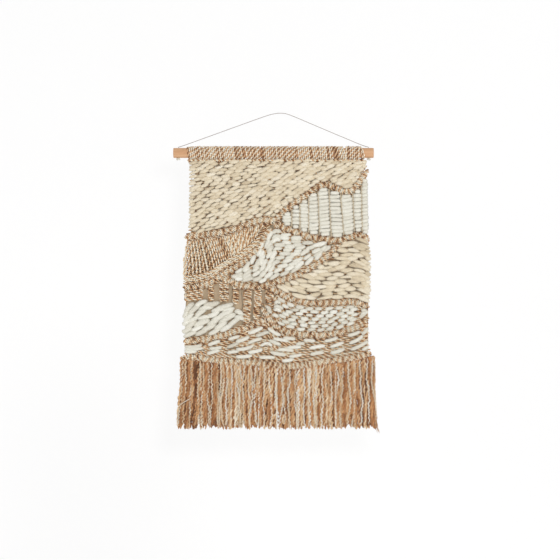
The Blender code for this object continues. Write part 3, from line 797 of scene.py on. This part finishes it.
ridgeTones = mixedTones([0.34, 0.58, 0.78, 0.96], [2, 4, 5, 5])
for node in sorted(name for name in frame["nodes"] if name.startswith("ridge_")):
    halfWidth = ridge["baseHalf" if node == "ridge_base" else "half"]
    area = Area(node)
    rope = wrappedRope(centreLine(area), halfWidth, ridge, ridgeTones)
    edges = []
    for heights in (area.top + ridge["edgeOut"], area.foot - ridge["edgeOut"]):
        line = np.c_[area.x, np.full(len(area.x), ridge["edgeY"]), heights][2:-2]
        line = resample(line, ridge["twist"] / 9)
        tone = 0.5 + wander(len(line), 0.06, 20)
        edges.append(taperedStrand(line, ridge["edgeRadius"], ridge["twist"], tone))
    strandPiece(node.replace("ridge_", "soumak_"), [rope] + edges, "twoPly", paint["ridge"], "panel", [node],
                "ridge_yarn")

# a row of small slanted wraps that binds the weave under the dowel
binding = {"radius": 0.0023, "turn": 0.0058, "slant": -0.0030, "twist": 0.0130, "depth": 0.0034,
           "middle": -0.0016, "roundEnd": 0.007, "half": 0.0042, "drop": 0.0005, "inset": 0.003}
under = {"radius": 0.0031, "twist": 0.0135, "step": 0.0015, "y": 0.0036, "rises": (0.0012, -0.0042)}
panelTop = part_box("cream_field_upper")[1].z
left, right = low.x + binding["inset"], high.x - binding["inset"]
underRow = []
for rise in under["rises"]:
    line = [(left, under["y"], panelTop + rise), (right, under["y"], panelTop + rise)]
    line = resample(line, under["step"])
    line[:, 2] += wander(len(line), 0.0004, 12)
    tone = 0.5 + wander(len(line), 0.07, 12)
    underRow.append(taperedStrand(line, under["radius"], under["twist"], tone))
bindingLine = [(left, panelTop - binding["drop"]), (right, panelTop - binding["drop"])]
bindingRope = wrappedRope(np.array(bindingLine), binding["half"], binding, ridgeTones)
strandPiece("bindingRow", [bindingRope] + underRow, "twoPly", paint["ridge"], "panel", (), "ridge_yarn")
print("header and ridges")

# soft roving stitches of the two cream fields
cream = {
    "upper": {"spacing": 0.0090, "slopes": (0.22, 0.08), "length": (0.020, 0.031), "gap": (-0.0035, 0.000),
              "shortest": 0.009, "radius": 0.0053, "spread": 0.15, "tilt": 8, "tiltSpread": 5,
              "front": -0.0032, "dip": 0.0058, "lift": 0.0006, "corners": 10, "fullness": 2.3},
    "lower": {"spacing": 0.0098, "length": (0.028, 0.046), "gap": (-0.006, -0.001), "shortest": 0.012,
              "radius": 0.0062, "spread": 0.12, "tilt": 0, "tiltSpread": 5, "front": -0.0028, "dip": 0.0062,
              "lift": 0.0006, "corners": 11, "fullness": 1.9},
}
upper = Area("cream_field_upper")


# parallel rows whose slope changes from the foot of the area to its top
def slantedRows(area, spacing, slopes):
    rows = []
    foot, top = area.foot.min(), area.top.max()
    height = foot
    while height < top + 0.05:
        slope = slopes[0] + (slopes[1] - slopes[0]) * min((height - foot) / (top - foot), 1)
        line = np.c_[area.x, height + slope * (area.x - area.x[0])]
        rows.append((line, area.holds(line, 0.0012)))
        height += spacing
    return rows


upperRows = slantedRows(upper, cream["upper"]["spacing"], cream["upper"]["slopes"])
strandPiece("creamStitchesUpper", layDashes(upperRows, cream["upper"]), "rope", paint["cream"], "panel",
            ["cream_field_upper"], "cream_roving")
lower = Area("cream_field_lower")
lowerRows = evenRows(lower, cream["lower"]["spacing"])
strandPiece("creamStitchesLower", layDashes(lowerRows, cream["lower"]), "rope", paint["cream"], "panel",
            ["cream_field_lower"], "cream_roving")

# twisted jute weft, the ground behind the stitches
weft = {"radius": 0.0027, "twist": 0.0145, "perTwist": 9, "front": 0.0018, "wave": 0.0014, "stray": 0.0004,
        "warp": 0.0252, "shortest": 0.006}
groundTones = mixedTones([0.30, 0.50, 0.68, 0.86], [3, 4, 5, 4])
creamGround = layWeft(upperRows, {**weft, "front": 0.0022, "perTwist": 8}, groundTones)
creamGround += layWeft(lowerRows, {**weft, "front": 0.0030, "perTwist": 8}, groundTones)
strandPiece("groundWeftCream", creamGround, "twoPly", paint["jute"], "panel", (), "jute_yarn")

# white rope stitches on jute
white = {
    "white_dash_triangle": {
        "spacing": 0.0112, "length": (0.020, 0.031), "gap": (0.000, 0.004), "shortest": 0.012,
        "radius": 0.0056, "spread": 0.07, "tilt": 14, "tiltSpread": 5, "front": -0.0030, "dip": 0.0050,
        "lift": 0.0004, "corners": 11, "fullness": 5},
    "white_dash_oval": {
        "spacing": 0.0104, "length": (0.016, 0.020), "gap": (0.006, 0.009), "shortest": 0.011,
        "radius": 0.0048, "spread": 0.08, "tilt": 6, "tiltSpread": 5, "front": -0.0024, "dip": 0.0048,
        "lift": 0.0004, "corners": 11, "fullness": 5},
    "bottom_dash_band": {
        "spacing": 0.0150, "length": (0.028, 0.041), "gap": (0.012, 0.024), "shortest": 0.016,
        "radius": 0.0047, "spread": 0.06, "tilt": 5, "tiltSpread": 4, "front": -0.0030, "dip": 0.0050,
        "lift": 0.0004, "corners": 12, "fullness": 7},
}
ground = []
for node, settings in white.items():
    area = Area(node)
    strandPiece(node + "Stitches", layDashes(fanRows(area, settings["spacing"], 0.002), settings), "rope",
                paint["white"], "panel", [node], "white_rope")
    ground += layWeft(fanRows(area, 0.0052, 0.0005), weft, groundTones)
strandPiece("groundWeft", ground, "twoPly", paint["jute"], "panel", (), "jute_yarn")
print("fields")

# jute laid down the left field, with a few level rows along its foot
laid = {"radius": 0.0029, "twist": 0.0165, "perTwist": 9, "spacing": 0.0052, "front": -0.0020, "band": 0.020,
        "bandSpacing": 0.0054, "groundSpacing": 0.0052, "edgeInset": 0.0045, "edgeY": 0.0022}
field = Area("jute_field_left")


def laidStrands(area, settings, tones):
    strands = []
    x = area.x[0] - 0.08
    while x < area.x[-1] + 0.06:
        share = np.clip((x - area.x[0]) / (area.x[-1] - area.x[0]), 0, 1)
        lean = -0.05 - 0.42 * math.sin(math.pi * min(share * 1.35, 1)) + 0.5 * max(0, share - 0.72)
        drop = np.linspace(0, 1, 160)
        z = area.top.max() - drop * (area.top.max() - area.foot.min())
        across = x - lean * drop * 0.14 + 0.006 * np.sin(drop * 3)
        line = np.c_[across, z]
        foot, top = area.span(line[:, 0])
        shown = area.holds(line, 0.0012) & (line[:, 1] > foot + settings["band"])
        for start, stop in runs(shown):
            part = line[start:stop]
            if len(part) < 6:
                continue
            part = resample(part, settings["twist"] / settings["perTwist"])
            count = len(part)
            y = settings["front"] + wander(count, 0.0006, 12)
            points = np.c_[part[:, 0] + wander(count, 0.0005, 14), y, part[:, 1]]
            radius = unevenRadius(settings["radius"], count, 0.07, 9)
            strands.append(Strand(points, radius, settings["twist"], tones(1)[0] + wander(count, 0.06, 20),
                                  phase=rng.random() * 6))
        x += settings["spacing"]
    return strands


bandRows = evenRows(field, laid["bandSpacing"])[:4]
laidTones = mixedTones([0.38, 0.62, 0.80, 0.96], [2, 4, 5, 5])
jute = laidStrands(field, laid, laidTones)
heights = np.arange(field.foot.min() + 0.01, field.top.max() - 0.01, 0.003)
sides = [(field.across(height), height) for height in heights]
line = [(ends[0] + laid["edgeInset"], laid["edgeY"], height) for ends, height in sides if ends is not None]
line = resample(line, laid["twist"] / laid["perTwist"])
jute.append(taperedStrand(line, laid["radius"], laid["twist"], 0.6))
jute += layWeft(bandRows, {**weft, "radius": 0.0029, "front": -0.0022, "wave": 0.0004}, laidTones)
groundRows = evenRows(field, laid["groundSpacing"])
jute += layWeft(groundRows, {**weft, "front": 0.0032, "wave": 0.0006, "perTwist": 8}, groundTones)
strandPiece("laidJute", jute, "twoPly", paint["jute"], "panel", ["jute_field_left"], "jute_yarn")

# white braid of long stitches that overlap up to the right
braid = {"spacing": 0.0125, "length": (0.034, 0.046), "gap": (-0.012, -0.006), "shortest": 0.016,
         "radius": 0.0066, "spread": 0.06, "tilt": 20, "tiltSpread": 4, "front": -0.0020, "dip": 0.0075,
         "lift": 0.0009, "corners": 12, "fullness": 3.2}
oval = Area("white_braid_oval")
strandPiece("whiteBraid", layDashes(fanRows(oval, braid["spacing"], 0.004), braid), "rope", paint["white"],
            "panel", ["white_braid_oval"], "white_rope")

# columns wrapped with white rope, and columns wrapped with jute
whiteWrap = {"radius": 0.0050, "pitch": 0.0094, "corners": 26, "middle": -0.0006, "depth": 0.0026,
             "twist": 0.09, "slant": (-0.05, 0.28)}
juteWrap = {"radius": 0.0027, "pitch": 0.0054, "corners": 48, "middle": -0.0004, "depth": 0.0036,
            "twist": 0.0145, "slant": (-0.05, 0.30)}
paleWarp = {"radius": 0.0027, "twist": 0.0090, "perTwist": 7, "y": -0.0020, "tone": 0.62}
whiteTones = mixedTones([0.5, 0.6], [1, 1])
columns = sorted(name for name in frame["nodes"] if "_column_" in name and not name.startswith("ridge"))
areas = {node: Area(node) for node in columns}
for node in columns:
    pale = node.startswith("white")
    settings, tones = (whiteWrap, whiteTones) if pale else (juteWrap, groundTones)
    strandPiece(node + "Wraps", wrapColumn(areas[node], settings, tones), "rope" if pale else "twoPly",
                paint["white" if pale else "jute"], "panel", [node], "white_wrap" if pale else "jute_wrap")
palest = [node for node in columns if node.startswith("white")]
between = [warpBetween(areas[first], areas[second], paleWarp) for first, second in zip(palest, palest[1:])]
strandPiece("warpsBetweenColumns", between, "twoPly", paint["cotton"], "panel", (), "warp_cotton")
print("braid and columns")

# warps behind the weave
backing = Area("backing_cloth")
warp = {"count": 18, "radius": 0.0011, "twist": 0.0050, "y": 0.0075}


def warpStrands():
    strands = []
    low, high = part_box("warp_cords")
    for x in np.linspace(low.x + 0.0015, high.x - 0.0015, warp["count"]):
        foot, top = backing.span(x)
        line = resample([(x, warp["y"], high.z - 0.0005), (x, warp["y"], foot + 0.002)], warp["twist"] / 6)
        line[:, 0] += wander(len(line), 0.0004, 25)
        strands.append(taperedStrand(line, warp["radius"], warp["twist"], 0.5 + rng.normal(0, 0.06), 2))
    return strands


strandPiece("warps", warpStrands(), "twoPly", paint["cotton"], "panel", ["warp_cords"], "warp_cotton")

# linen lining over the back, with running stitches along its edge
lining = {"thickness": 0.0010, "y": 0.0094, "columns": 44, "rows": 48, "stitch": 0.0050, "every": 0.0085,
          "inset": 0.006, "thread": 0.0005}


def makeLining():
    low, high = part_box("backing_cloth")
    corners = max(backing.foot[:60].max(), backing.foot[-60:].max()) + 0.003
    builder = bmesh.new()
    bmesh.ops.create_grid(builder, x_segments=lining["columns"], y_segments=lining["rows"], size=0.5)
    for corner in builder.verts:
        u, v = corner.co.x + 0.5, 0.5 - corner.co.y
        x = low.x + u * (high.x - low.x)
        for attempt in range(3):
            foot, top = backing.span(x)
            z = top + v * (foot - top)
            sides = backing.across(min(max(z, corners), backing.top.max() - 0.0006))
            x = sides[0] + u * (sides[1] - sides[0])
        wave = 0.0004 * math.sin(x * 31 + z * 9) * math.sin(z * 23)
        corner.co = (x, lining["y"] + wave - lining["thickness"] / 2, z)
    bmesh.ops.recalc_face_normals(builder, faces=builder.faces)
    mesh = bpy.data.meshes.new("liningCloth")
    builder.to_mesh(mesh)
    builder.free()
    mesh.materials.append(paint["linen"])
    mesh.shade_smooth()
    piece = addObject("liningCloth", mesh)
    thick = piece.modifiers.new("thickness", "SOLIDIFY")
    thick.thickness = lining["thickness"]
    finishPiece(piece, "panel", ["backing_cloth"], "backing_linen")
    return piece


def edgeStitches():
    heights = np.linspace(backing.top.max() - 0.004, backing.foot.min() + 0.03, 120)
    sides = [(height, backing.across(height)) for height in heights]
    left = [(ends[0] + lining["inset"], height) for height, ends in sides if ends]
    right = [(ends[1] - lining["inset"], height) for height, ends in sides if ends]
    foot = [(x, backing.span(x)[0] + lining["inset"]) for x in np.linspace(left[-1][0], right[-1][0], 120)]
    upperEdge = backing.top.max() - lining["inset"]
    top = [(left[0][0], upperEdge), (right[0][0], upperEdge)]
    strands = []
    for route in (left, right, foot, top):
        line = resample(route, 0.0005)
        along = np.arange(len(line)) * 0.0005
        start = 0.002
        while start + lining["stitch"] < along[-1]:
            part = line[(along >= start) & (along <= start + lining["stitch"])]
            share = np.linspace(-1, 1, len(part))
            y = lining["y"] + lining["thickness"] / 2 + 0.0004 - 0.0009 * share ** 4
            points = np.c_[part[:, 0], y, part[:, 1]]
            strands.append(taperedStrand(points, lining["thread"], 0.01, 0.7, 2))
            start += lining["every"]
    return strands


cloth = makeLining()
strandPiece("liningStitches", edgeStitches(), "rope", paint["cotton"], "panel", (), "backing_linen")
print("warps and lining")

# fringe: loose strands of mixed yarn, thin crimped ones over soft thick ones, each with stray fibres
fringe = {"top": 0.019, "step": 0.0014, "hairs": 34, "hairReach": 0.006}
fringeYarns = [
    {"count": 7, "radius": 0.0052, "y": 0.0044, "twist": 0.022, "crimp": 0.0, "sway": 0.3,
     "tones": (0.30, 0.42, 0.54)},
    {"count": 8, "radius": 0.0058, "y": 0.0036, "twist": 0.050, "crimp": 0.0, "sway": 0.3,
     "tones": (0.12, 0.22, 0.32, 0.44, 0.58)},
    {"count": 6, "radius": 0.0043, "y": 0.0008, "twist": 0.040, "crimp": 0.0007, "sway": 1,
     "tones": (0.34, 0.44, 0.56, 0.68)},
    {"count": 3, "radius": 0.0030, "y": -0.0014, "twist": 0.0105, "crimp": 0.0007, "sway": 1,
     "tones": (0.46, 0.62, 0.76)},
    {"count": 4, "radius": 0.0022, "y": -0.0032, "twist": 0.0070, "crimp": 0.0015, "sway": 1,
     "tones": (0.86, 0.94, 1.0)},
]
# the two outer bundles flare outwards and have ends that came loose
looseEnds = {
    "fringe_01": {"flare": -0.009, "count": 1, "radius": 0.0015, "tone": 1.0, "route": [
        (-0.2290, -0.0072, -0.7240), (-0.2450, -0.0082, -0.7330), (-0.2640, -0.0070, -0.7490)]},
    "fringe_10": {"flare": 0.004, "count": 9, "radius": 0.0013, "tone": 0.40, "route": [
        (0.2400, -0.0010, -0.7500), (0.2460, -0.0020, -0.7950), (0.2550, -0.0030, -0.8200)]},
}


def fringeStrand(low, high, share, yarn, hinge, flare, shift):
    middle, half = (low.x + high.x) / 2, (high.x - low.x) / 2
    length = (hinge + fringe["top"] - low.z) * rng.uniform(0.915, 1.0)
    drop = resample([(0, 0), (1, 0)], fringe["step"] / length)[:, 0]
    count = len(drop)
    radius = yarn["radius"] * rng.uniform(0.85, 1.15)
    reach = half - radius * 0.8
    loose = np.clip(drop / 0.3, 0, 1)
    x = middle + (share - 0.5) * 2 * reach * (0.94 + 0.06 * drop)
    x = x + (wander(count, 0.0030, 45) + wander(count, 0.0009, 12)) * loose * yarn["sway"]
    y = yarn["y"] + wander(count, 0.0010, 30)
    y = y + (0.0030 - y) * np.clip(1 - drop / 0.12, 0, 1)
    z = hinge + fringe["top"] - drop * length
    wave = 2 * math.pi * drop * length / rng.uniform(0.0075, 0.0105) + rng.random() * 6
    x = x + yarn["crimp"] * np.sin(wave + 1.5 * np.sin(wave / 5))
    y = y + yarn["crimp"] * 0.6 * np.cos(wave)
    x = np.clip(x, low.x + radius * 0.5, high.x - radius * 0.5) + flare * drop ** 1.5
    thick = radius * (1 + wander(count, 0.12, 14)) * taper(count, 3)
    thick = thick * np.where(drop > 0.90, 1 - 0.55 * (drop - 0.90) / 0.10, 1)
    tone = rng.choice(yarn["tones"]) + shift + wander(count, 0.06, 20)
    return Strand(np.c_[x, y, z], thick, yarn["twist"], tone, phase=rng.random() * 6)


# ends that have come loose from a bundle and splay out
def looseEnd(end):
    strands = []
    splay = 0.0022 if end["count"] > 1 else 0
    for number in range(end["count"]):
        line = resample(end["route"], 0.0025)
        line = line + rng.normal(0, splay, 3) * np.linspace(0.4, 1.2, len(line))[:, None]
        line = line[:len(line) - int(rng.integers(0, 3 + end["count"]))]
        line[:, 0] += wander(len(line), 0.0006, 6)
        radius = end["radius"] * taper(len(line), 3) * np.linspace(1.1, 0.6, len(line))
        strands.append(Strand(line, radius, 0.008, end["tone"] + rng.normal(0, 0.08)))
    return strands


def strayFibres(strands, each, reach, low, high):
    hairs = []
    for strand in strands:
        for index in rng.integers(4, len(strand.points) - 2, each):
            base = strand.points[index]
            out = rng.normal(0, 1, 3) * (1, 0.45, 0.9)
            out[2] -= 0.5
            out *= reach * rng.uniform(0.5, 1.2) / np.linalg.norm(out)
            share = np.linspace(0, 1, 5)[:, None]
            bend = rng.normal(0, 0.3, 3) * reach
            line = base + share * out + (share ** 2) * bend
            line[:, 1:] = np.clip(line[:, 1:], np.array(low)[1:] + 0.0002, np.array(high)[1:] - 0.0002)
            radius = 0.00012 * np.array([0.6, 1, 1, 0.8, 0.0])
            hairs.append(Strand(line, radius, None, strand.tone[0] + 0.1))
    return hairs


for body in fringeBodies:
    node = body.replace("fringe_", "fringe_bundle_")
    low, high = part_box(node)
    hinge = high.z - 0.0045
    end = looseEnds.get(body)
    flare = end["flare"] if end else 0.0
    shift = rng.normal(-0.05, 0.06)
    strands = []
    for yarn in fringeYarns:
        places = (np.arange(yarn["count"]) + rng.uniform(-0.3, 0.3, yarn["count"])) / (yarn["count"] - 1)
        places = np.clip(places, 0, 1)
        strands += [fringeStrand(low, high, place, yarn, hinge, flare, shift) for place in places]
    loose = looseEnd(end) if end else []
    bundle = strandPiece(body + "Strands", strands + loose, "twoPly", paint["fringe"], None, [node],
                         "fringe_yarn")
    hairs = strayFibres(strands, fringe["hairs"], fringe["hairReach"], low, high)
    fibres = strandPiece(body + "Fibres", hairs, "hair", paint["fringe"], None, (), "fringe_yarn")
    middle = (low.x + high.x) / 2
    for piece in (bundle, fibres):
        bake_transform(piece)
print("fringe")
